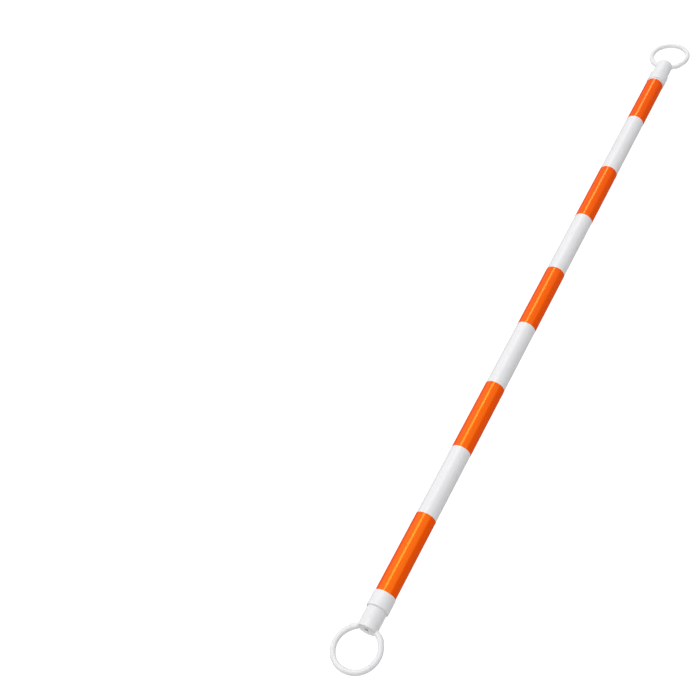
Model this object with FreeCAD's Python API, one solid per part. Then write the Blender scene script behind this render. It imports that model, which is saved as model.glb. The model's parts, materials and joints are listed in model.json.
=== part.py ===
"""Traffic cone bar: a banded tube with a swivelling ring head at each end.

The rings drop over the tips of two traffic cones, so the bar hangs level between them. The bar
lies along X with its origin on the tube's axis at mid-length, +Z up through the rings. The left
end is the -X end. Each end piece is drawn for the left end, by its distance outwards from the
end of the coloured bands, and the right end is the same piece turned half round about Z.
"""
import FreeCAD, Part
import math
import os

# Driving dimensions, millimetres.
OVERALL_LENGTH = 1250.0
TUBE_OD = 28.0
TUBE_WALL = 1.5
FILM_THICKNESS = 0.3
COLLAR_OD = 30.2
NECK_OD = 26.6
RING_CENTRELINE_RADIUS = 29.8
RING_SECTION_RADIUS = 3.8
RING_BORE_RADIUS = 26.4

# Distances outwards from the nominal end of the bands.
TUBE_INSET = 14.0
COLLAR_MOUTH = 1.0
LIP_START = 20.5
COLLAR_END = 22.5
NECK_FACE = 51.0
RING_CENTRE = 77.8
PLUG_INNER_END = -20.0
PLUG_FLANGE = 2.0
PLUG_FLANGE_INSET = 0.1
PLUG_WALL = 2.4
PLUG_END_WALL = 8.0
WASHER_THICKNESS = 1.0
WASHER_MARGIN = 0.2
AXIAL_PLAY = 0.1
END_WALL = 6.0
SCREW_SEAT = 48.5
SCREW_TIP = 27.0

# Radii of the pivot and of what turns on it.
SIDE_GAP = 0.3
SPIGOT_RADIUS = 6.0
BEARING_CLEARANCE = 0.05
HUB_RADIUS = 8.6
NECK_WALL = 2.2
WEB_THICKNESS = 1.6
WEB_COUNT = 4
WEB_SETBACK = 2.0
WEB_ROOT = 0.5
SCREW_SHANK_RADIUS = 1.6
SCREW_HEAD_RADIUS = 2.5
SCREW_HEAD_HEIGHT = 1.8
PIVOT_WASHER_RADIUS = 2.8
PIVOT_WASHER_THICKNESS = 0.5
TIP_LENGTH = 1.5
TIP_RADIUS = 0.4
DRIVE_WIDTH = 0.7
DRIVE_LENGTH = 3.0
DRIVE_DEPTH = 1.0

# Colour fields: nine, orange first and last. The sleeves are pushed on by hand, so several of
# their joints sit off the even spacing: {joint number from the left: shift towards +X}.
FIELD_COUNT = 9
JOINT_SHIFTS = {0: -1.0, 1: 4.2, 3: 0.8, 6: 2.3, 8: 12.0, 9: -2.5}

# How the ring's arms meet the neck: how far they reach in over its face, how much the gap
# between them opens away from the face, and how deep they are rooted in its wall.
ARM_OVERLAP = 1.0
ARM_OPENING = 2.0
ARM_ROOT = 0.8

# Edge rounding.
COLLAR_LIP_ROUND = 0.7
COLLAR_MOUTH_ROUND = 0.3
NECK_RIM_ROUND = 1.2
SCREW_HEAD_ROUND = 0.8

ring_centre_x = OVERALL_LENGTH / 2 - RING_CENTRELINE_RADIUS - RING_SECTION_RADIUS
banded_half = ring_centre_x - RING_CENTRE
tube_radius = TUBE_OD / 2
tube_bore = tube_radius - TUBE_WALL
neck_radius = NECK_OD / 2
collar_radius = COLLAR_OD / 2
washer_start = TUBE_INSET + PLUG_FLANGE
neck_inner_end = washer_start + WASHER_THICKNESS + AXIAL_PLAY
wall_start = NECK_FACE - END_WALL

X_AXIS = FreeCAD.Vector(1, 0, 0)
Y_AXIS = FreeCAD.Vector(0, 1, 0)
Z_AXIS = FreeCAD.Vector(0, 0, 1)
ORIGIN = FreeCAD.Vector(0, 0, 0)


def station(distance):
    """X of a plane that lies this far outwards of the bands at the left end."""
    return -(banded_half + distance)


def rod(start, end, radius):
    """Solid cylinder on the bar's axis between two X positions."""
    low = min(start, end)
    return Part.makeCylinder(radius, abs(end - start), FreeCAD.Vector(low, 0, 0), X_AXIS)


def pipe(start, end, outer, inner):
    """Hollow cylinder on the bar's axis between two X positions."""
    return rod(start, end, outer).cut(rod(start, end, inner))


def end_rod(start, end, radius):
    """Solid cylinder between two distances outwards at the left end."""
    return rod(station(start), station(end), radius)


def end_pipe(start, end, outer, inner):
    """Hollow cylinder between two distances outwards at the left end."""
    return pipe(station(start), station(end), outer, inner)


def circles_at(shape, distance, radius):
    """Circular edges about the bar's axis at one distance outwards and one radius."""
    found = []
    for edge in shape.Edges:
        curve = edge.Curve
        if not isinstance(curve, Part.Circle):
            continue
        on_plane = abs(curve.Center.x - station(distance)) < 1e-4
        on_axis = math.hypot(curve.Center.y, curve.Center.z) < 1e-4
        if on_plane and on_axis and abs(curve.Radius - radius) < 1e-4:
            found.append(edge)
    return found


def at_right_end(shape):
    """The same piece at the +X end, turned half round about Z."""
    turned = shape.copy()
    turned.rotate(ORIGIN, Z_AXIS, 180)
    return turned


def make_tube():
    """Round plastic tube, carried under both collars."""
    half = banded_half + TUBE_INSET
    return pipe(-half, half, tube_radius, tube_bore)


def field_joints():
    """X positions of both ends of every colour field, from left to right."""
    pitch = 2 * banded_half / FIELD_COUNT
    return [-banded_half + n * pitch + JOINT_SHIFTS.get(n, 0.0) for n in range(FIELD_COUNT + 1)]


def make_sleeves():
    """Orange film sleeves on fields 1, 3, 5, 7 and 9: the white fields are bare tube."""
    joints = field_joints()
    film_radius = tube_radius + FILM_THICKNESS
    return [pipe(joints[n], joints[n + 1], film_radius, tube_radius) for n in range(0, FIELD_COUNT, 2)]


def make_collar():
    """Socket glued over the tube's end, with a lip turned in around the neck."""
    body = end_pipe(COLLAR_MOUTH, COLLAR_END, collar_radius, tube_radius)
    lip = end_pipe(LIP_START, COLLAR_END, collar_radius, neck_radius + SIDE_GAP)
    collar = body.fuse(lip).removeSplitter()
    collar = collar.makeFillet(COLLAR_LIP_ROUND, circles_at(collar, COLLAR_END, collar_radius))
    return collar.makeFillet(COLLAR_MOUTH_ROUND, circles_at(collar, COLLAR_MOUTH, collar_radius))


def make_end_plug():
    """Plug pressed in the tube, with a flange on the tube's end and the swivel spigot."""
    body = end_rod(PLUG_INNER_END, TUBE_INSET, tube_bore)
    core = end_rod(PLUG_INNER_END, TUBE_INSET - PLUG_END_WALL, tube_bore - PLUG_WALL)
    flange = end_rod(TUBE_INSET, washer_start, tube_radius - PLUG_FLANGE_INSET)
    spigot = end_rod(washer_start, wall_start - SIDE_GAP, SPIGOT_RADIUS)
    pilot = end_rod(SCREW_TIP, wall_start, SCREW_SHANK_RADIUS)
    return body.cut(core).fuse([flange, spigot]).cut(pilot).removeSplitter()


def make_thrust_washer():
    """Flat slip washer between the plug's flange and the turning neck."""
    outer = neck_radius - WASHER_MARGIN
    inner = SPIGOT_RADIUS + WASHER_MARGIN
    return end_pipe(washer_start, washer_start + WASHER_THICKNESS, outer, inner)


def make_neck():
    """Round neck: outer wall and bearing hub joined by webs and a thick end wall."""
    shell = end_pipe(neck_inner_end, NECK_FACE, neck_radius, neck_radius - NECK_WALL)
    hub = end_pipe(neck_inner_end, NECK_FACE, HUB_RADIUS, SPIGOT_RADIUS + BEARING_CLEARANCE)
    end_wall = end_rod(wall_start, NECK_FACE, neck_radius)
    web_length = wall_start - neck_inner_end - WEB_SETBACK
    web_height = neck_radius - NECK_WALL - HUB_RADIUS + 2 * WEB_ROOT
    webs = []
    for n in range(WEB_COUNT):
        corner = FreeCAD.Vector(station(wall_start), -WEB_THICKNESS / 2, HUB_RADIUS - WEB_ROOT)
        web = Part.makeBox(web_length, WEB_THICKNESS, web_height, corner)
        web.rotate(ORIGIN, X_AXIS, 45 + 360 * n / WEB_COUNT)
        webs.append(web)
    neck = shell.fuse([hub, end_wall] + webs).removeSplitter()
    return neck.makeFillet(NECK_RIM_ROUND, circles_at(neck, NECK_FACE, neck_radius))


def make_ring():
    """Round ring with a short flat land inside, open in front of the neck's end face."""
    centre = FreeCAD.Vector(station(RING_CENTRE), 0, 0)
    ring = Part.makeTorus(RING_CENTRELINE_RADIUS, RING_SECTION_RADIUS, centre, Z_AXIS)
    below = FreeCAD.Vector(centre.x, 0, -RING_SECTION_RADIUS)
    bore = Part.makeCylinder(RING_BORE_RADIUS, 2 * RING_SECTION_RADIUS, below, Z_AXIS)
    face = FreeCAD.Vector(station(NECK_FACE), 0, 0)
    reach = RING_SECTION_RADIUS * 2
    flare = Part.makeCone(neck_radius - ARM_OVERLAP, neck_radius + ARM_OPENING, reach, face, -X_AXIS)
    inside_neck = end_rod(neck_inner_end, NECK_FACE, neck_radius - ARM_ROOT)
    return ring.cut(bore).cut(flare).cut(inside_neck)


def make_ring_head():
    """Neck and ring as one moulding, with the screw's recess and its clearance hole."""
    head = make_neck().fuse(make_ring())
    recess = end_rod(SCREW_SEAT, NECK_FACE + 1, PIVOT_WASHER_RADIUS + SIDE_GAP)
    hole = end_rod(wall_start - 1, SCREW_SEAT, SCREW_SHANK_RADIUS + SIDE_GAP)
    return head.cut(recess.fuse(hole)).removeSplitter()


def make_pivot_washer():
    """Steel washer under the screw's head, clear of the recess floor by half the play."""
    start = SCREW_SEAT + AXIAL_PLAY / 2
    inner = SCREW_SHANK_RADIUS + 0.1
    return end_pipe(start, start + PIVOT_WASHER_THICKNESS, PIVOT_WASHER_RADIUS, inner)


def make_pivot_screw():
    """Pan head screw with a cross recess, driven into the spigot."""
    head_start = SCREW_SEAT + AXIAL_PLAY / 2 + PIVOT_WASHER_THICKNESS
    head_end = head_start + SCREW_HEAD_HEIGHT
    head = end_rod(head_start, head_end, SCREW_HEAD_RADIUS)
    head = head.makeFillet(SCREW_HEAD_ROUND, circles_at(head, head_end, SCREW_HEAD_RADIUS))
    shank = end_rod(SCREW_TIP + TIP_LENGTH, head_start, SCREW_SHANK_RADIUS)
    tip_base = FreeCAD.Vector(station(SCREW_TIP + TIP_LENGTH), 0, 0)
    tip = Part.makeCone(SCREW_SHANK_RADIUS, TIP_RADIUS, TIP_LENGTH, tip_base, X_AXIS)
    screw = head.fuse([shank, tip]).removeSplitter()
    for size_y, size_z in ((DRIVE_WIDTH, DRIVE_LENGTH), (DRIVE_LENGTH, DRIVE_WIDTH)):
        corner = FreeCAD.Vector(station(head_end), -size_y / 2, -size_z / 2)
        screw = screw.cut(Part.makeBox(DRIVE_DEPTH, size_y, size_z, corner))
    return screw


def write(name, shape):
    """Check one sub-part and write it as STEP."""
    solids = shape.Solids
    if len(solids) != 1 or not solids[0].isValid():
        raise RuntimeError("%s has %d solids or is not valid" % (name, len(solids)))
    solids[0].exportStep("parts/%s.step" % name)
    print("%-20s %9.1f mm3" % (name, solids[0].Volume))


def main():
    os.makedirs("parts", exist_ok=True)
    write("tube", make_tube())
    for n, sleeve in enumerate(make_sleeves(), start=1):
        write("orange_sleeve_%d" % n, sleeve)
    end_pieces = {
        "collar": make_collar(),
        "end_plug": make_end_plug(),
        "thrust_washer": make_thrust_washer(),
        "ring_head": make_ring_head(),
        "pivot_washer": make_pivot_washer(),
        "pivot_screw": make_pivot_screw(),
    }
    for name, shape in end_pieces.items():
        write(name + "_left", shape)
        write(name + "_right", at_right_end(shape))


main()
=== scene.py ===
# %% [markdown]
# # A traffic cone bar
# The object is a light plastic bar that hangs between two traffic cones. A white tube carries five
# orange film sleeves, and each end has a collar and a ring head that swivels on a central screw.
# The CAD frame already has every piece at its real size. Here the pieces that show are drawn again
# as finer surfaces, and every piece gets a finish. All lengths in this file are in metres.

# %% Load the frame
import json
import math

import bpy
import numpy as np
import openvdb
from mathutils import Matrix, Vector


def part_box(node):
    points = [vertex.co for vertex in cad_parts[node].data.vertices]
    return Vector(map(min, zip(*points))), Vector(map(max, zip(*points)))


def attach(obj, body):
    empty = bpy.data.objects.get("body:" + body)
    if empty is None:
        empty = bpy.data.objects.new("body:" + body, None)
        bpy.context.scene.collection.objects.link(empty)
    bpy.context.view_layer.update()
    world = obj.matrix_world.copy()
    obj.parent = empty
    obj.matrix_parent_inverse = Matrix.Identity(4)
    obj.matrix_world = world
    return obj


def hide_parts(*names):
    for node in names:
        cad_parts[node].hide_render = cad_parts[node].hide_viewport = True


MM = 0.001
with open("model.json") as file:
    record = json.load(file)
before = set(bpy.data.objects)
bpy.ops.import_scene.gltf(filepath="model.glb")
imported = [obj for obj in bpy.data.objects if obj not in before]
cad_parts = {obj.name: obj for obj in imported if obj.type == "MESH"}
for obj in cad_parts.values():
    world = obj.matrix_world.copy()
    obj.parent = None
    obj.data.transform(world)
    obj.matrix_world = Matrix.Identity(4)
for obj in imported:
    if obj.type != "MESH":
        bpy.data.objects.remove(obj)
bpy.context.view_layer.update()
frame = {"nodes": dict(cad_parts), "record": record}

# %% [markdown]
# ## Measures taken from the frame
# A lathe-turned object needs few numbers: where each piece starts and ends along X, and how wide it
# is. Reading them from the frame keeps the looks and the CAD in step, so only the wall thicknesses
# and roundings, which a box can't tell, are written here.

# %% Read the main measures
SIDES = ("left", "right")
SLEEVE_COUNT = 5


def span_along_bar(node):
    """Lowest and highest X of a CAD node."""
    low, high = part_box(node)
    return low[0], high[0]


def widest_radius(node):
    """Half of a CAD node's height, which is its radius for a round piece on the X axis."""
    low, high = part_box(node)
    return (high[2] - low[2]) / 2


tube_radius = widest_radius("tube")
film_radius = widest_radius("orange_sleeve_1")
collar_radius = widest_radius("collar_left")
neck_radius = widest_radius("ring_head_left")
ring_bore = {mount["name"]: mount for mount in frame["record"]["mounts"]}["left_ring_bore"]
print("radii in mm: tube %.2f, film %.2f, collar %.2f, neck %.2f" % tuple(
    radius / MM for radius in (tube_radius, film_radius, collar_radius, neck_radius)))

# %% [markdown]
# ## Turning a profile into a surface
# Tube, sleeves and collars are all round about the X axis, so each is one profile carried round
# that axis. A grid of points, profile by angle, is worked out as whole arrays: that is quick, gives
# clean rings of quads, and lets a piece differ slightly round its girth, as a wrapped film does.

# %% Grid and lathe helpers
TURN_STEPS = 160
ARC_STEPS = 6
LONGEST_SIDE = 6 * MM


def mesh_object(name, points, faces):
    """Smooth-shaded mesh object at the origin from an (n, 3) array and an (m, 4) array of corners."""
    mesh = bpy.data.meshes.new(name)
    mesh.vertices.add(len(points))
    mesh.vertices.foreach_set("co", np.ascontiguousarray(points, dtype=np.float32).ravel())
    mesh.loops.add(faces.size)
    mesh.loops.foreach_set("vertex_index", np.ascontiguousarray(faces, dtype=np.int32).ravel())
    mesh.polygons.add(len(faces))
    mesh.polygons.foreach_set("loop_start", np.arange(0, faces.size, 4, dtype=np.int32))
    mesh.polygons.foreach_set("use_smooth", np.ones(len(faces), dtype=bool))
    mesh.update(calc_edges=True)
    mesh.validate()
    piece = bpy.data.objects.new(name, mesh)
    bpy.context.scene.collection.objects.link(piece)
    return piece


def closed_grid_faces(rows, columns):
    """Quads of a grid that wraps both ways, as a torus does: each joins a point to the next row and
    the next column."""
    row = np.arange(rows)[:, None]
    column = np.arange(columns)[None, :]
    next_row = (row + 1) % rows
    next_column = (column + 1) % columns
    corners = [row * columns + column, row * columns + next_column,
               next_row * columns + next_column, next_row * columns + column]
    return np.stack(corners, axis=-1).reshape(-1, 4)


def rounded_outline(corners):
    """Closed outline through corners of (x, radius, rounding): each corner becomes an arc that touches
    both of its sides, at a distance of rounding / tan(half the corner's angle) from the corner."""
    points = np.array([corner[:2] for corner in corners])
    outline = []
    for index, (x, radius, rounding) in enumerate(corners):
        here = np.array([x, radius])
        before = points[index - 1] - here
        after = points[(index + 1) % len(points)] - here
        before /= np.linalg.norm(before)
        after /= np.linalg.norm(after)
        half_angle = math.acos(np.clip(before @ after, -1, 1)) / 2
        reach = rounding / math.tan(half_angle)
        middle = (before + after) / np.linalg.norm(before + after)
        centre = here + middle * rounding / math.sin(half_angle)
        start = here + before * reach - centre
        end = here + after * reach - centre
        blend = np.linspace(0, 1, ARC_STEPS)[:, None]
        arc = start * (1 - blend) + end * blend
        arc *= rounding / np.linalg.norm(arc, axis=1, keepdims=True)
        outline.append(centre + arc)
    return np.concatenate(outline)


def split_long_sides(outline, longest):
    """The same outline with points added evenly on every side that is longer than the given length."""
    following = np.roll(outline, -1, axis=0)
    counts = np.ceil(np.linalg.norm(following - outline, axis=1) / longest).astype(int)
    counts = np.maximum(counts, 1)
    side = np.repeat(np.arange(len(outline)), counts)
    step = np.arange(counts.sum()) - np.repeat(np.cumsum(counts) - counts, counts)
    share = (step / counts[side])[:, None]
    return outline[side] * (1 - share) + following[side] * share


def lathe(name, outline, longest=LONGEST_SIDE, swell=None):
    """Closed surface of a closed (x, radius) outline carried round the X axis: y is radius times the
    sine of the turn and z is radius times its cosine. swell adds to x and radius at each point."""
    outline = split_long_sides(outline, longest)
    turn = np.linspace(0, 2 * math.pi, TURN_STEPS, endpoint=False)[None, :]
    x = np.repeat(outline[:, :1], TURN_STEPS, axis=1)
    radius = np.repeat(outline[:, 1:], TURN_STEPS, axis=1)
    if swell:
        x, radius = swell(x, radius, turn)
    points = np.stack([x, radius * np.sin(turn), radius * np.cos(turn)], axis=-1).reshape(-1, 3)
    piece = mesh_object(name, points, closed_grid_faces(len(outline), TURN_STEPS))
    face_outwards(piece)
    print("%s: %d faces" % (name, len(piece.data.polygons)))
    return piece


def face_outwards(piece):
    """Turn every face over if the mesh's signed volume, the sum of its corner tetrahedra, is negative."""
    mesh = piece.data
    mesh.calc_loop_triangles()
    points = np.empty(len(mesh.vertices) * 3)
    mesh.vertices.foreach_get("co", points)
    corners = np.empty(len(mesh.loop_triangles) * 3, dtype=np.int32)
    mesh.loop_triangles.foreach_get("vertices", corners)
    a, b, c = points.reshape(-1, 3)[corners.reshape(-1, 3)].transpose(1, 0, 2)
    if np.einsum("ij,ij->", a, np.cross(b, c)) < 0:
        mesh.flip_normals()


def pipe_outline(start, end, outer, inner, outer_round, inner_round):
    """Outline of a pipe's wall, from start to end, with its four rims rounded."""
    return rounded_outline([(start, outer, outer_round), (end, outer, outer_round),
                            (end, inner, inner_round), (start, inner, inner_round)])


# %% [markdown]
# ## The tube
# The white fields are the bare tube, an extruded plastic pipe. An extrusion is straight and even,
# so a plain lathe surface with slightly broken edges is the right shape, and its finish does the rest.

# %% Make the tube
TUBE_WALL = 1.5 * MM
TUBE_OUTER_ROUND = 0.3 * MM
TUBE_INNER_ROUND = 0.2 * MM

tube_start, tube_end = span_along_bar("tube")
tube = lathe("extruded_tube", pipe_outline(tube_start, tube_end, tube_radius, tube_radius - TUBE_WALL,
                                           TUBE_OUTER_ROUND, TUBE_INNER_ROUND))
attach(tube, "bar")
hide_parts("tube")

# %% [markdown]
# ## The orange sleeves
# Each orange field is a strip of glossy film wrapped once round the tube. Its lap, where the end of
# the wrap lies over the start, is a flat step along the underside, and its cut edges aren't quite
# square. Both are too small to change the outline, but they catch the light as a real wrap does.

# %% Make the sleeves
LAP_HEIGHT = 0.1 * MM
LAP_MIDDLE = math.radians(200)
LAP_HALF_WIDTH = math.radians(24)
LAP_EDGE = math.radians(1.6)
EDGE_WANDER = 0.25 * MM
WANDER_STARTS = 0.9
FILM_OUTER_ROUND = 0.08 * MM
FILM_INNER_ROUND = 0.02 * MM
OUTSIDE_MARGIN = 0.01 * MM


def wrapped_film(start, end, seed):
    """Swell of a wrapped film: the lap is a flat-topped step in radius, a smooth rise and fall of the
    turn angle, and the cut edges wander inwards by a sum of two slow waves."""
    middle = (start + end) / 2
    half = (end - start) / 2
    phase = np.random.default_rng(seed).uniform(0, 2 * math.pi, 2)

    def swell(x, radius, turn):
        from_lap = np.abs(turn - LAP_MIDDLE)
        lap = 1 / (1 + np.exp((from_lap - LAP_HALF_WIDTH) / (LAP_EDGE / 4)))
        wave = (2 + np.sin(turn + phase[0]) + np.sin(2 * turn + phase[1])) / 4
        near_edge = np.clip((np.abs(x - middle) / half - WANDER_STARTS) / 0.1, 0, 1)
        pull = EDGE_WANDER * wave * near_edge
        outside = radius > tube_radius + OUTSIDE_MARGIN
        return x - np.sign(x - middle) * pull, radius - LAP_HEIGHT * (1 - lap) * outside

    return swell


sleeves = []
for number in range(1, SLEEVE_COUNT + 1):
    node = "orange_sleeve_%d" % number
    start, end = span_along_bar(node)
    outline = pipe_outline(start, end, film_radius, tube_radius, FILM_OUTER_ROUND, FILM_INNER_ROUND)
    sleeve = lathe("film_sleeve_%d" % number, outline, swell=wrapped_film(start, end, number))
    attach(sleeve, "bar")
    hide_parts(node)
    sleeves.append(sleeve)

# %% [markdown]
# ## The collars
# A collar is a short socket glued over the end of the tube. Its outer end turns in as a lip around
# the neck, with a softly rounded rim, and its inner end only has its edge broken. It is one outline:
# up over the wall, in over the lip, and back along the bore.

# %% Make the collars
LIP_THICKNESS = 2.0 * MM
LIP_GAP = 0.3 * MM
RIM_ROUND = 0.7 * MM
EDGE_ROUND = 0.3 * MM
INSIDE_ROUND = 0.2 * MM
MOUTH_BORE_ROUND = 0.1 * MM
COLLAR_LONGEST_SIDE = 2 * MM

collars = []
for side in SIDES:
    node = "collar_" + side
    low, high = span_along_bar(node)
    mouth, lip = (high, low) if side == "left" else (low, high)
    lip_inside = lip + LIP_THICKNESS * (1 if side == "left" else -1)
    lip_bore = neck_radius + LIP_GAP
    outline = rounded_outline([
        (mouth, collar_radius, EDGE_ROUND),
        (lip, collar_radius, RIM_ROUND),
        (lip, lip_bore, EDGE_ROUND),
        (lip_inside, lip_bore, INSIDE_ROUND),
        (lip_inside, tube_radius, INSIDE_ROUND),
        (mouth, tube_radius, MOUTH_BORE_ROUND),
    ])
    collar = lathe("socket_collar_" + side, outline, longest=COLLAR_LONGEST_SIDE)
    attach(collar, "bar")
    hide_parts(node)
    collars.append(collar)

# %% [markdown]
# ## The ring heads
# Neck and ring are one moulding, and where the ring's arms run into the neck the plastic is softly
# filleted. Two surfaces that only cross would leave a hard crease. So the head is worked out as a
# distance field: every point of a fine grid gets its distance to the shape, the distances of neck and
# ring are blended where they are close, and the surface is laid where the distance is zero.

# %% Distance helpers
def soft_union(first, second, reach):
    """Smaller of two distances, lowered by (reach - gap) squared / (4 reach) where their gap is
    under reach."""
    near = np.maximum(reach - np.abs(first - second), 0)
    return np.minimum(first, second) - near * near / (4 * reach)


def soft_cut(shape, tool, reach):
    """Shape with the tool taken away, its new edges rounded over the given reach."""
    return -soft_union(-shape, tool, reach)


def round_bar(along, across, start, end, radius, rounding):
    """Distance to a cylinder with rounded rims: a box in (along, across), shrunk and then grown again."""
    over_length = np.abs(along - (start + end) / 2) - (end - start) / 2 + rounding
    over_radius = across - radius + rounding
    outside = np.hypot(np.maximum(over_length, 0), np.maximum(over_radius, 0))
    return outside + np.minimum(np.maximum(over_length, over_radius), 0) - rounding


# %% The head's measures
head_low, head_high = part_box("ring_head_left")
neck_inner_end = head_high[0]
ring_tip = head_low[0]
ring_middle = ring_bore["pos_m"][0]
ring_outer = ring_middle - ring_tip
bore_radius = ring_bore["dims"]["r_mm"] * MM

RING_SECTION = 3.8 * MM
FACE_TO_RING_MIDDLE = 26.8 * MM
END_WALL = 6.0 * MM
NECK_WALL = 2.2 * MM
HUB_RADIUS = 8.6 * MM
BEARING_RADIUS = 6.05 * MM
WEB_HALF_THICKNESS = 0.8 * MM
RECESS_DEPTH = 2.5 * MM
RECESS_RADIUS = 3.1 * MM
SCREW_HOLE_RADIUS = 1.9 * MM
NECK_RIM_ROUND = 0.9 * MM
FLARE_INNER = neck_radius - 1.5 * MM
FLARE_SLOPE = 0.39
FLARE_DEPTH = 7.6 * MM
ARM_BLEND = 1.4 * MM
ROOT_REACH = 10.0 * MM
ROOT_SPREAD = 1.7 * MM
BORE_EDGE_ROUND = 0.3 * MM
FLARE_EDGE_ROUND = 0.8 * MM
RECESS_EDGE_ROUND = 0.5 * MM
GRID_STEP = 0.42 * MM
GRID_MARGIN = 3 * GRID_STEP
print("ring: outside radius %.2f mm, bore radius %.2f mm" % (ring_outer / MM, bore_radius / MM))


# %% The head's distance field
def head_distance(out, y, z):
    """Distance to a ring head; out is how far a point lies outwards of the neck's inner end. The ring is
    a torus whose arms are spread sideways, by a smooth step of out, where they come to the neck."""
    face = (neck_inner_end - ring_middle) - FACE_TO_RING_MIDDLE
    across = np.hypot(y, z)
    neck = round_bar(out, across, 0, face, neck_radius, NECK_RIM_ROUND)

    at_root = np.clip((ROOT_REACH - (out - face)) / ROOT_REACH, 0, 1)
    spread = ROOT_SPREAD * at_root * at_root * (3 - 2 * at_root)
    from_middle = np.hypot(out - face - FACE_TO_RING_MIDDLE, np.maximum(np.abs(y) - spread, 0))
    ring = np.hypot(from_middle - (ring_outer - RING_SECTION), z) - RING_SECTION
    ring = soft_cut(ring, from_middle - bore_radius, BORE_EDGE_ROUND)
    flare = (across - FLARE_INNER - FLARE_SLOPE * (out - face)) / math.hypot(1, FLARE_SLOPE)
    before_face = np.maximum(face - out, out - face - FLARE_DEPTH)
    ring = soft_cut(ring, np.maximum(flare, before_face), FLARE_EDGE_ROUND)

    wall_start = face - END_WALL
    inside_neck = np.maximum(across - neck_radius + NECK_WALL, out - wall_start)
    head = soft_union(neck, np.maximum(ring, -inside_neck), ARM_BLEND)

    around_hub = np.maximum(inside_neck, HUB_RADIUS - across)
    webs = np.minimum(np.abs(y - z), np.abs(y + z)) / math.sqrt(2) - WEB_HALF_THICKNESS
    around_hub = np.maximum(around_hub, -webs)
    bearing = np.maximum(across - BEARING_RADIUS, out - wall_start)
    screw_hole = np.maximum(across - SCREW_HOLE_RADIUS, out - face)
    recess = np.maximum(across - RECESS_RADIUS, np.abs(out - face) - RECESS_DEPTH)
    hollow = np.minimum(np.minimum(around_hub, bearing), screw_hole)
    return soft_cut(np.maximum(head, -hollow), recess, RECESS_EDGE_ROUND)


# %% Lay the surface and place both heads
def level_surface(distance, low, high):
    """Points and quads where a distance function is zero, found on an even grid between two corners."""
    axes = [np.arange(low[n] - GRID_MARGIN, high[n] + GRID_MARGIN, GRID_STEP) for n in range(3)]
    field = distance(axes[0][:, None, None], axes[1][None, :, None], axes[2][None, None, :])
    grid = openvdb.FloatGrid(1.0)
    grid.copyFromArray(np.ascontiguousarray(field / GRID_STEP, dtype=np.float32))
    points, quads = grid.convertToQuads(0.0)
    corner = np.array([axis[0] for axis in axes])
    return corner + points * GRID_STEP, quads


def head_surface():
    """The left ring head's points in the bar's frame, and its quads."""
    length = neck_inner_end - ring_tip
    points, quads = level_surface(head_distance, (0, -ring_outer, -neck_radius),
                                  (length, ring_outer, neck_radius))
    return np.stack([neck_inner_end - points[:, 0], -points[:, 1], points[:, 2]], axis=1), quads


head_points, head_quads = head_surface()
half_turn = {"left": np.array([1, 1, 1]), "right": np.array([-1, -1, 1])}
heads = []
for side in SIDES:
    head = mesh_object("ring_moulding_" + side, head_points * half_turn[side], head_quads)
    face_outwards(head)
    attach(head, side + "_head")
    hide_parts("ring_head_" + side)
    heads.append(head)
    print("%s: %d faces" % (head.name, len(head.data.polygons)))

# %% [markdown]
# ## Shared finish effects
# Plastic that is extruded, moulded or wrapped keeps marks of how it was made. Each effect is one node
# group with its own inputs, so the tube, the film and the mouldings can share it at their own
# strengths. The groups put out masks and heights only, and the shader stays in the material.

# %% Node helpers
def new_group(name, inputs, outputs):
    """Empty shader node group with float inputs {name: default} and float outputs."""
    group = bpy.data.node_groups.new(name, "ShaderNodeTree")
    for label, default in inputs.items():
        socket = group.interface.new_socket(label, in_out="INPUT", socket_type="NodeSocketFloat")
        socket.default_value = default
    for label in outputs:
        group.interface.new_socket(label, in_out="OUTPUT", socket_type="NodeSocketFloat")
    entry = group.nodes.new("NodeGroupInput")
    leave = group.nodes.new("NodeGroupOutput")
    return group, entry, leave


def add_node(tree, kind, settings=None, values=None):
    """Add a node, set its properties, and set the default values of its inputs."""
    node = tree.nodes.new(kind)
    for key, value in (settings or {}).items():
        setattr(node, key, value)
    for key, value in (values or {}).items():
        node.inputs[key].default_value = value
    return node


def math_node(tree, operation, first, second):
    """Math node on two inputs, each a socket or a number. Gives its output socket."""
    node = add_node(tree, "ShaderNodeMath", {"operation": operation})
    for slot, source in enumerate((first, second)):
        if isinstance(source, bpy.types.NodeSocket):
            tree.links.new(source, node.inputs[slot])
        else:
            node.inputs[slot].default_value = source
    return node.outputs[0]


def remap(tree, source, low, high, to_low=0.0, to_high=1.0):
    """Map Range node with clamping and soft ends. Gives its output socket."""
    node = add_node(tree, "ShaderNodeMapRange", {"interpolation_type": "SMOOTHSTEP"},
                    {"From Min": low, "From Max": high, "To Min": to_low, "To Max": to_high})
    tree.links.new(source, node.inputs["Value"])
    return node.outputs["Result"]


def stretched_position(tree, along, across):
    """Object position scaled along the bar and across it. Gives a vector socket."""
    place = add_node(tree, "ShaderNodeTexCoord")
    mapping = add_node(tree, "ShaderNodeMapping", None, {"Scale": (along, across, across)})
    tree.links.new(place.outputs["Object"], mapping.inputs["Vector"])
    return mapping.outputs["Vector"]


def noise(tree, position, scale, detail=3.0, roughness=0.5):
    """Noise texture at a position. Gives its value socket."""
    node = add_node(tree, "ShaderNodeTexNoise", None,
                    {"Scale": scale, "Detail": detail, "Roughness": roughness})
    tree.links.new(position, node.inputs["Vector"])
    return node.outputs["Fac"]


# %% [markdown]
# **Draw lines.** An extruder's die and a wrapped film both leave faint lines along the length. Noise
# that is stretched along X gives long streaks, and two sizes of it keep them from looking regular.

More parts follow.
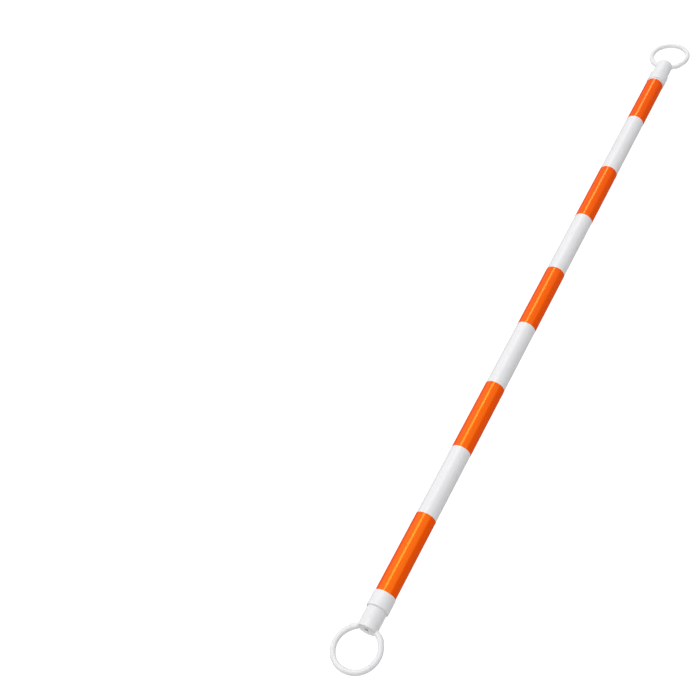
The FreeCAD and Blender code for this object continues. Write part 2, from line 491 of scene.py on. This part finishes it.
# %% Draw lines group
def build_draw_lines():
    group, entry, leave = new_group("draw_lines", {}, ["Streaks", "Height"])
    coarse = noise(group, stretched_position(group, 6, 260), 1.0, 2.0)
    fine = noise(group, stretched_position(group, 14, 1500), 1.0, 2.0)
    mixed = math_node(group, "ADD", math_node(group, "MULTIPLY", coarse, 0.6),
                      math_node(group, "MULTIPLY", fine, 0.4))
    group.links.new(remap(group, mixed, 0.3, 0.7), leave.inputs["Streaks"])
    group.links.new(mixed, leave.inputs["Height"])
    return group


draw_lines = build_draw_lines()

# %% [markdown]
# **Moulded skin.** A mould with a fine spark-eroded texture prints a soft grain on the plastic, about a
# third of a millimetre across, and slow changes in cooling leave it glossier in some places.

# %% Moulded skin group
def build_moulded_skin():
    group, entry, leave = new_group("moulded_skin", {}, ["Height", "Sheen"])
    place = stretched_position(group, 1, 1)
    grain = noise(group, place, 2600, 2.0)
    flow = noise(group, place, 60, 2.0)
    group.links.new(grain, leave.inputs["Height"])
    group.links.new(remap(group, flow, 0.35, 0.65), leave.inputs["Sheen"])
    return group


moulded_skin = build_moulded_skin()

# %% [markdown]
# **Handling marks.** Bars are stacked and slid over each other, so they pick up short thin scratches
# and dull rubbed patches. Scratches are the thin borders of very stretched cells, kept only where a
# slow noise is high, and the rubs are that slow noise by itself.

# %% Handling marks group
def build_handling_marks():
    group, entry, leave = new_group("handling_marks", {"Amount": 0.5}, ["Scratches", "Rubs"])
    cells = add_node(group, "ShaderNodeTexVoronoi", {"feature": "DISTANCE_TO_EDGE"}, {"Scale": 1.0})
    group.links.new(stretched_position(group, 22, 190), cells.inputs["Vector"])
    lines = remap(group, cells.outputs["Distance"], 0.0, 0.012, 1.0, 0.0)
    patches = noise(group, stretched_position(group, 18, 60), 1.0, 3.0)
    where = remap(group, patches, 0.52, 0.68)
    kept = math_node(group, "MULTIPLY", lines, where)
    group.links.new(math_node(group, "MULTIPLY", kept, entry.outputs["Amount"]), leave.inputs["Scratches"])
    rubs = math_node(group, "MULTIPLY", remap(group, patches, 0.4, 0.75), entry.outputs["Amount"])
    group.links.new(rubs, leave.inputs["Rubs"])
    return group


handling_marks = build_handling_marks()

# %% [markdown]
# **Dust.** A little grey dust settles in specks and thin films, more on plastic that stays outdoors.
# It is a slow noise times a fast one, so it comes as clouds of specks.

# %% Dust group
def build_dust():
    group, entry, leave = new_group("settled_dust", {"Amount": 0.3}, ["Dust"])
    place = stretched_position(group, 1, 1)
    clouds = remap(group, noise(group, place, 25, 3.0), 0.4, 0.75)
    specks = remap(group, noise(group, place, 900, 2.0, 0.6), 0.45, 0.8)
    both = math_node(group, "MULTIPLY", clouds, specks)
    group.links.new(math_node(group, "MULTIPLY", both, entry.outputs["Amount"]), leave.inputs["Dust"])
    return group


settled_dust = build_dust()
print("finish groups:", [group.name for group in bpy.data.node_groups])

# %% [markdown]
# ## Materials
# Every material starts from the same small set of steps: a Principled shader with its constant values
# set on its own sockets, one or more shared effects, and mixes that tint the colour, change the
# roughness and feed one bump.

# %% Material helpers
def start_material(name, constants):
    """New material: its node tree and its Principled shader, with constant sockets set."""
    material = bpy.data.materials.new(name)
    material.use_nodes = True
    tree = material.node_tree
    shader = tree.nodes["Principled BSDF"]
    for label, value in constants.items():
        shader.inputs[label].default_value = value
    return material, tree, shader


def use_group(tree, group, **values):
    """Place a shared effect in a material with its own input values."""
    node = add_node(tree, "ShaderNodeGroup", {"node_tree": group})
    for label, value in values.items():
        node.inputs[label].default_value = value
    return node


def tint(tree, mask, first, second):
    """Colour that goes from first to second as the mask rises. Each is a colour or a colour socket."""
    mix = add_node(tree, "ShaderNodeMix", {"data_type": "RGBA"})
    tree.links.new(mask, mix.inputs["Factor"])
    for label, colour in ((6, first), (7, second)):
        if isinstance(colour, bpy.types.NodeSocket):
            tree.links.new(colour, mix.inputs[label])
        else:
            mix.inputs[label].default_value = (*colour, 1.0)
    return mix.outputs[2]


def add_bump(tree, shader, height, depth):
    """Bump of a real depth in metres into the shader's normal."""
    bump = add_node(tree, "ShaderNodeBump", None, {"Distance": depth, "Strength": 1.0})
    tree.links.new(height, bump.inputs["Height"])
    tree.links.new(bump.outputs["Normal"], shader.inputs["Normal"])


def give(pieces, material):
    """Make a material the only one on each piece."""
    for piece in pieces:
        piece.data.materials.clear()
        piece.data.materials.append(material)


# %% [markdown]
# **Orange film.** The film is a strong orange with fine clear beads under a glossy face. They send light
# back through the colour, so its gloss is tinted: the specular tint is a warm yellow. The colour shifts a
# little along the draw lines, scratches are a lighter orange, and rubs dull the face.

# %% Orange film
ORANGE = (1.0, 0.09, 0.0)
ORANGE_DEEP = (0.985, 0.083, 0.0)
ORANGE_RUBBED = (0.95, 0.19, 0.01)
GLOSS_TINT = (1.0, 0.8, 0.08, 1.0)
DUST_ON_FILM = (0.6, 0.5, 0.42)
FILM_LINE_DEPTH = 0.003 * MM


def build_orange_film():
    material, tree, shader = start_material("orange_film", {
        "IOR": 1.58, "Specular IOR Level": 1.0, "Specular Tint": GLOSS_TINT})
    lines = use_group(tree, draw_lines)
    marks = use_group(tree, handling_marks, Amount=0.35)
    dust = use_group(tree, settled_dust, Amount=0.015)
    colour = tint(tree, lines.outputs["Streaks"], ORANGE_DEEP, ORANGE)
    colour = tint(tree, marks.outputs["Scratches"], colour, ORANGE_RUBBED)
    colour = tint(tree, dust.outputs["Dust"], colour, DUST_ON_FILM)
    tree.links.new(colour, shader.inputs["Base Color"])
    rough = remap(tree, marks.outputs["Rubs"], 0.0, 1.0, 0.15, 0.36)
    tree.links.new(rough, shader.inputs["Roughness"])
    add_bump(tree, shader, lines.outputs["Height"], FILM_LINE_DEPTH)
    return material


give(sleeves, build_orange_film())

# %% [markdown]
# **White tube.** The tube is a satin extrusion. It shows the same draw lines, a few scratches and a
# trace of dust, and it is slightly cooler and cleaner than the mouldings.

# %% White tube
TUBE_WHITES = ((0.775, 0.775, 0.785), (0.805, 0.805, 0.81))
TUBE_SCRATCH = (0.66, 0.66, 0.67)
DUST_GREY = (0.5, 0.48, 0.45)
TUBE_LINE_DEPTH = 0.02 * MM


def build_tube_white():
    material, tree, shader = start_material("tube_white", {"IOR": 1.5})
    lines = use_group(tree, draw_lines)
    marks = use_group(tree, handling_marks, Amount=0.4)
    dust = use_group(tree, settled_dust, Amount=0.25)
    colour = tint(tree, lines.outputs["Streaks"], *TUBE_WHITES)
    colour = tint(tree, marks.outputs["Scratches"], colour, TUBE_SCRATCH)
    colour = tint(tree, dust.outputs["Dust"], colour, DUST_GREY)
    tree.links.new(colour, shader.inputs["Base Color"])
    tree.links.new(remap(tree, marks.outputs["Rubs"], 0.0, 1.0, 0.34, 0.55), shader.inputs["Roughness"])
    add_bump(tree, shader, lines.outputs["Height"], TUBE_LINE_DEPTH)
    return material


give([tube], build_tube_white())

# %% [markdown]
# **White mouldings.** Collars and ring heads come out of a mould with a fine grain, so they are duller
# than the tube. A slow change in sheen keeps the large ring from looking like one flat colour.

# %% White mouldings
MOULDING_WHITES = ((0.77, 0.77, 0.777), (0.8, 0.8, 0.805))
MOULDING_SCRATCH = (0.68, 0.68, 0.68)
SKIN_DEPTH = 0.02 * MM


def build_moulding_white():
    material, tree, shader = start_material("moulding_white", {"IOR": 1.49})
    skin = use_group(tree, moulded_skin)
    marks = use_group(tree, handling_marks, Amount=0.3)
    dust = use_group(tree, settled_dust, Amount=0.2)
    colour = tint(tree, skin.outputs["Sheen"], *MOULDING_WHITES)
    colour = tint(tree, marks.outputs["Scratches"], colour, MOULDING_SCRATCH)
    colour = tint(tree, dust.outputs["Dust"], colour, DUST_GREY)
    tree.links.new(colour, shader.inputs["Base Color"])
    tree.links.new(remap(tree, skin.outputs["Sheen"], 0.0, 1.0, 0.5, 0.42), shader.inputs["Roughness"])
    add_bump(tree, shader, skin.outputs["Height"], SKIN_DEPTH)
    return material


give(collars + heads, build_moulding_white())

# %% [markdown]
# **Hidden plastics.** The plug is a grey moulding and the slip washer is a natural, slightly yellow
# one. They share one recipe with two pairs of colours.

# %% Plug and slip washer
def build_plain_moulding(name, dark, light, roughness):
    material, tree, shader = start_material(name, {"IOR": 1.5})
    skin = use_group(tree, moulded_skin)
    tree.links.new(tint(tree, skin.outputs["Sheen"], dark, light), shader.inputs["Base Color"])
    rough = remap(tree, skin.outputs["Sheen"], 0.0, 1.0, roughness + 0.08, roughness)
    tree.links.new(rough, shader.inputs["Roughness"])
    add_bump(tree, shader, skin.outputs["Height"], SKIN_DEPTH)
    return material


plug_grey = build_plain_moulding("plug_grey", (0.40, 0.40, 0.41), (0.48, 0.48, 0.49), 0.45)
slip_plastic = build_plain_moulding("slip_plastic", (0.70, 0.68, 0.60), (0.78, 0.76, 0.69), 0.35)
give([frame["nodes"]["end_plug_" + side] for side in SIDES], plug_grey)
give([frame["nodes"]["thrust_washer_" + side] for side in SIDES], slip_plastic)

# %% [markdown]
# **Zinc plate.** Screws and washers are steel with a bright zinc coat. Zinc is spangled: its grains
# differ a little in brightness, so cells of varying value tint it, and the same cells vary its gloss.

# %% Zinc plated steel
def build_zinc():
    material, tree, shader = start_material("zinc_plate", {"Metallic": 0.85})
    cells = add_node(tree, "ShaderNodeTexVoronoi", None, {"Scale": 1400.0})
    tree.links.new(stretched_position(tree, 1, 1), cells.inputs["Vector"])
    tone = remap(tree, cells.outputs["Color"], 0.0, 1.0)
    tree.links.new(tint(tree, tone, (0.60, 0.61, 0.63), (0.78, 0.79, 0.80)), shader.inputs["Base Color"])
    tree.links.new(remap(tree, tone, 0.0, 1.0, 0.5, 0.38), shader.inputs["Roughness"])
    return material


small_steel = [frame["nodes"][kind + side] for kind in ("pivot_screw_", "pivot_washer_") for side in SIDES]
give(small_steel, build_zinc())
print("materials:", sorted(material.name for material in bpy.data.materials))

# %% [markdown]
# ## Floor, light and camera
# The bar is shown as for a catalogue. It lies over a light table: a pale floor that glows a little by
# itself, so that it comes out clean and its shadows stay faint. The table lies just below the circle
# that a turned ring sweeps, so a ring can stand on edge without going through it.

# %% Light table
FLOOR_SIZE = 24.0
FLOOR_GAP = 30 * MM

floor_level = -(ring_outer + FLOOR_GAP)
corners = np.array([[-1, -1], [1, -1], [1, 1], [-1, 1]]) * FLOOR_SIZE / 2
floor_points = np.column_stack([corners, np.full(4, floor_level)])
floor = mesh_object("floor", floor_points, np.array([[0, 1, 2, 3]]))
table_top, _, _ = start_material("light_table", {
    "Base Color": (0.2, 0.2, 0.2, 1.0), "Roughness": 0.9, "Specular IOR Level": 0.0,
    "Emission Color": (1.0, 1.0, 1.0, 1.0), "Emission Strength": 0.95})
give([floor], table_top)
floor.visible_glossy = False

# %% [markdown]
# A glossy round bar shows its surroundings as long stripes, so the surroundings matter more than the
# lamps. Here they are a white tent that is open low in front and at the left end: even light from above
# and behind, and darkness in the openings, which draws the deeper stripe along the bar's front side and
# shades the end face. The tent is the world background. Its brightness is the smallest of four smooth
# steps: two of the angle about the bar's axis, for the front and for below, and two of how far a
# direction points to the left and to the right. Seen directly, the background is plain white.

# %% Tent
TENT_BRIGHTNESS = 0.96
OPENING_BRIGHTNESS = 0.08
FRONT_STARTS, FRONT_FULL = -0.78, -0.95
LEFT_STARTS, LEFT_FULL = -0.35, -0.75
RIGHT_STARTS, RIGHT_FULL = 0.3, 0.95
BELOW_STARTS, BELOW_FULL = 0.6, -0.3
TENT_WHITE = (0.985, 0.99, 1.0, 1.0)


def build_tent():
    world = bpy.data.worlds.new("light_tent")
    world.use_nodes = True
    tree = world.node_tree
    place = add_node(tree, "ShaderNodeTexCoord")
    sides = add_node(tree, "ShaderNodeSeparateXYZ")
    tree.links.new(place.outputs["Generated"], sides.inputs["Vector"])
    squash = add_node(tree, "ShaderNodeMapping", None, {"Scale": (0.0, 1.0, 1.0)})
    tree.links.new(place.outputs["Generated"], squash.inputs["Vector"])
    flat = add_node(tree, "ShaderNodeVectorMath", {"operation": "NORMALIZE"})
    tree.links.new(squash.outputs["Vector"], flat.inputs[0])
    around = add_node(tree, "ShaderNodeSeparateXYZ")
    tree.links.new(flat.outputs["Vector"], around.inputs["Vector"])
    front = remap(tree, around.outputs["Y"], FRONT_FULL, FRONT_STARTS, OPENING_BRIGHTNESS, TENT_BRIGHTNESS)
    left = remap(tree, sides.outputs["X"], LEFT_FULL, LEFT_STARTS, OPENING_BRIGHTNESS, TENT_BRIGHTNESS)
    below = remap(tree, around.outputs["Z"], BELOW_FULL, BELOW_STARTS, OPENING_BRIGHTNESS, TENT_BRIGHTNESS)
    right = remap(tree, sides.outputs["X"], RIGHT_STARTS, RIGHT_FULL, TENT_BRIGHTNESS, OPENING_BRIGHTNESS)
    ends = math_node(tree, "MINIMUM", left, right)
    light = math_node(tree, "MINIMUM", math_node(tree, "MINIMUM", front, below), ends)
    rays = add_node(tree, "ShaderNodeLightPath")
    level = math_node(tree, "MAXIMUM", light, rays.outputs["Is Camera Ray"])
    tree.links.new(level, tree.nodes["Background"].inputs["Strength"])
    tree.nodes["Background"].inputs["Color"].default_value = TENT_WHITE
    return world


bpy.context.scene.world = build_tent()
bpy.context.scene.view_settings.view_transform = "Standard"

# %% [markdown]
# One long lamp box hangs over the bar, a little behind it. It gives the bright line along the film, and
# most of the difference between the lit side and the shaded one.

# %% Lamp box
LAMP_PLACE = (0.6, 0.47, 1.68)
LAMP_SIZE = (6.0, 0.6)
LAMP_POWER = 34.5


def area_light(name, place, aim, size, power):
    """Rectangular area light at a place, turned to face an aim point, with its length along X."""
    light = bpy.data.lights.new(name, "AREA")
    light.shape = "RECTANGLE"
    light.size, light.size_y = size
    light.energy = power
    lamp = bpy.data.objects.new(name, light)
    lamp.location = place
    lamp.rotation_euler = (Vector(aim) - Vector(place)).to_track_quat("-Z", "Y").to_euler()
    bpy.context.scene.collection.objects.link(lamp)
    return lamp


area_light("lamp_box", LAMP_PLACE, (LAMP_PLACE[0], 0.0, 0.0), LAMP_SIZE, LAMP_POWER)
print("lamp box brightness: %.2f" % (LAMP_POWER / (math.pi * LAMP_SIZE[0] * LAMP_SIZE[1])))

# %% [markdown]
# The camera stands beyond the left end, to the front and well above the bar, so the near ring is seen
# almost square and the far one as a flatter ellipse. It is tipped sideways about its own axis, which
# runs the bar steeply up the picture.

# %% Camera
CAMERA_PLACE = (-0.9892, -0.4864, 1.2460)
CAMERA_AIM = (-0.1782, 0.2304, 0.0)
CAMERA_ROLL = math.radians(-17.43)
CAMERA_LENS = 57.1
SENSOR_WIDTH = 36.0

camera_data = bpy.data.cameras.new("camera")
camera_data.lens = CAMERA_LENS
camera_data.sensor_width = SENSOR_WIDTH
camera_data.clip_start = 0.01
camera = bpy.data.objects.new("camera", camera_data)
sight = Vector(CAMERA_AIM) - Vector(CAMERA_PLACE)
turned = sight.to_track_quat("-Z", "Y").to_matrix() @ Matrix.Rotation(CAMERA_ROLL, 3, "Z")
camera.matrix_world = Matrix.Translation(CAMERA_PLACE) @ turned.to_4x4()
bpy.context.scene.collection.objects.link(camera)
bpy.context.scene.camera = camera
